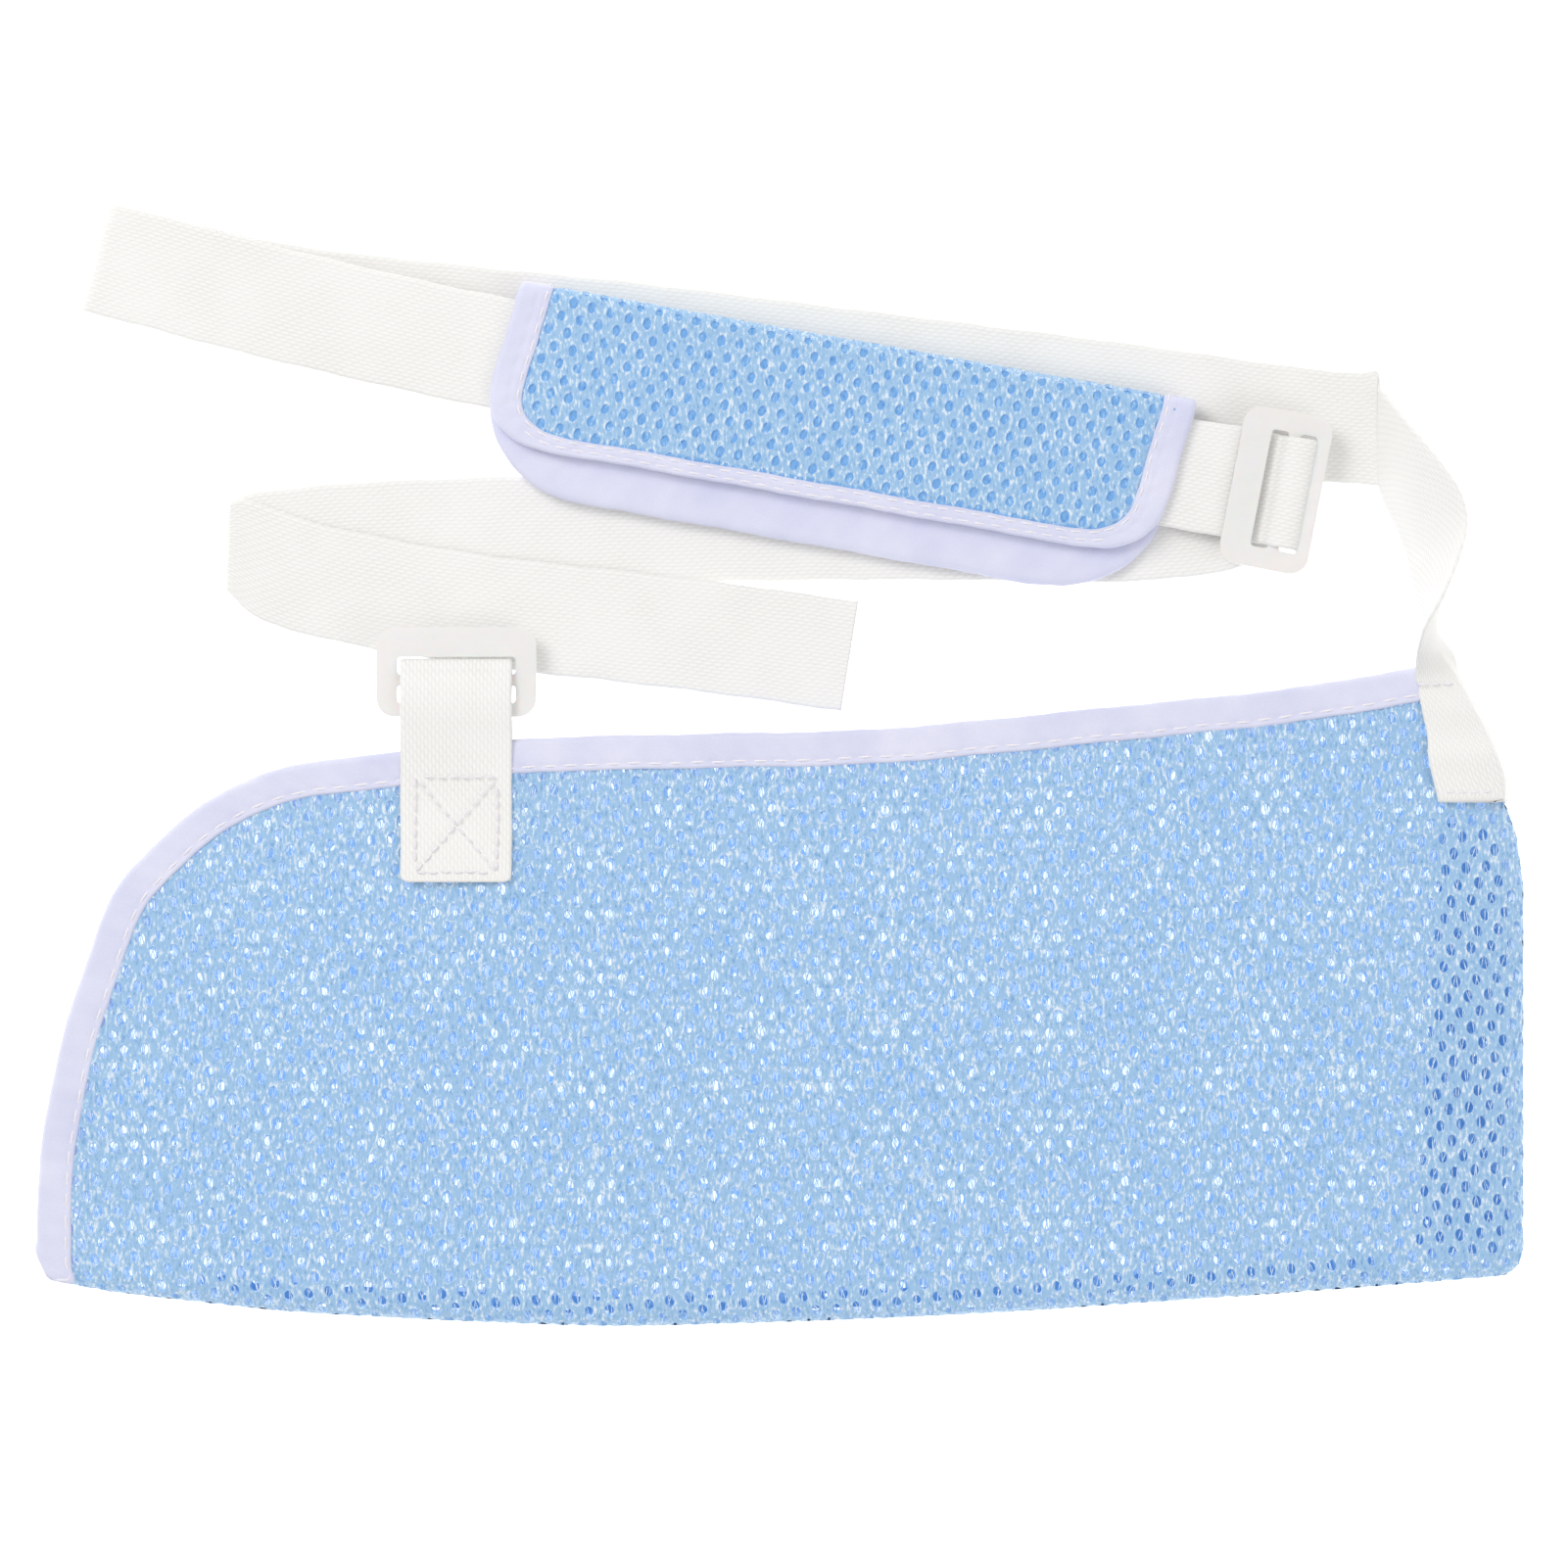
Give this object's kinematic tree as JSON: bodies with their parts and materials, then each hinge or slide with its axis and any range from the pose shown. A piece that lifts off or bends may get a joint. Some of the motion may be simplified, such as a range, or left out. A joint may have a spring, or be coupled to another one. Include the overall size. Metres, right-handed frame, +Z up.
{
  "type": "arm sling",
  "caption": "Arm sling laid flat: an open mesh pouch for the forearm with a webbing strap, a padded shoulder sleeve and tri-glide sliders.",
  "frame": {"origin": "under the middle of the whole sling as it lies flat, on the surface it rests on", "axes": "+X from the hand end to the elbow end, +Y from the pouch to the folded strap, +Z up"},
  "size_m": [0.4004, 0.303, 0.0313],
  "materials": {
    "mesh_fabric": "blue spacer mesh with open cells, slightly shiny threads",
    "binding_tape": "smooth pale lilac tape, topstitched",
    "webbing": "off-white twill webbing",
    "thread": "pale sewing thread",
    "slider_plastic": "translucent white moulded plastic"
  },
  "bodies": {
    "sling": {"pouch_back_panel": "mesh_fabric", "pouch_front_panel": "mesh_fabric", "pouch_bottom_fold": "mesh_fabric", "pouch_elbow_end": "mesh_fabric", "elbow_seam_allowance": "mesh_fabric", "bottom_seam_allowance": "mesh_fabric", "back_binding": "binding_tape", "strap_anchor_tab": "webbing", "strap_anchor_hem": "webbing", "strap_anchor_edge": "webbing", "strap_riser": "webbing", "strap_upper_run": "webbing", "strap_far_fold": "webbing", "strap_shoulder_run": "webbing", "strap_adjuster_turn": "webbing", "strap_return_run": "webbing", "strap_return_fold": "webbing", "strap_tail": "webbing"},
    "front_flap": {"pouch_front_flap": "mesh_fabric", "front_binding": "binding_tape", "buckle_loop_front": "webbing", "buckle_loop_back": "webbing", "loop_box_stitching": "thread"},
    "pouch_buckle": {"pouch_slider": "slider_plastic"},
    "adjuster": {"strap_adjuster": "slider_plastic"},
    "shoulder_pad": {"pad_back_layer": "mesh_fabric", "pad_front_layer": "mesh_fabric", "pad_top_fold": "mesh_fabric", "pad_left_front_binding": "binding_tape", "pad_left_back_binding": "binding_tape", "pad_right_front_binding": "binding_tape", "pad_right_back_binding": "binding_tape", "pad_front_edge_binding": "binding_tape", "pad_back_edge_binding": "binding_tape"},
    "free_end": {"strap_free_end": "webbing"}
  },
  "joints": [
    {"name": "flap_opens", "type": "hinge", "parent": "sling", "child": "front_flap", "pos_m": [-0.18978, -0.1408, 0.0106], "axis": [0.9216, 0.3881, 0], "range_deg": [0, 55]},
    {"name": "pouch_slider_swings", "type": "hinge", "parent": "front_flap", "child": "pouch_buckle", "pos_m": [-0.08728, 0.0226, 0.0093], "axis": [1, 0, 0], "range_deg": [0, 50]},
    {"name": "adjuster_tips_up", "type": "hinge", "parent": "sling", "child": "adjuster", "pos_m": [0.13542, 0.0733, 0.0087], "axis": [0.1908, 0.9816, 0], "range_deg": [0, 30]},
    {"name": "pad_slides", "type": "slide", "parent": "sling", "child": "shoulder_pad", "axis": [0.9847, -0.1745, 0], "range_m": [-0.045, 0.008]},
    {"name": "free_end_lifts", "type": "hinge", "parent": "sling", "child": "free_end", "pos_m": [-0.04518, 0.0374, 0.00325], "axis": [-0.1392, -0.9903, 0], "range_deg": [0, 70]}
  ]
}
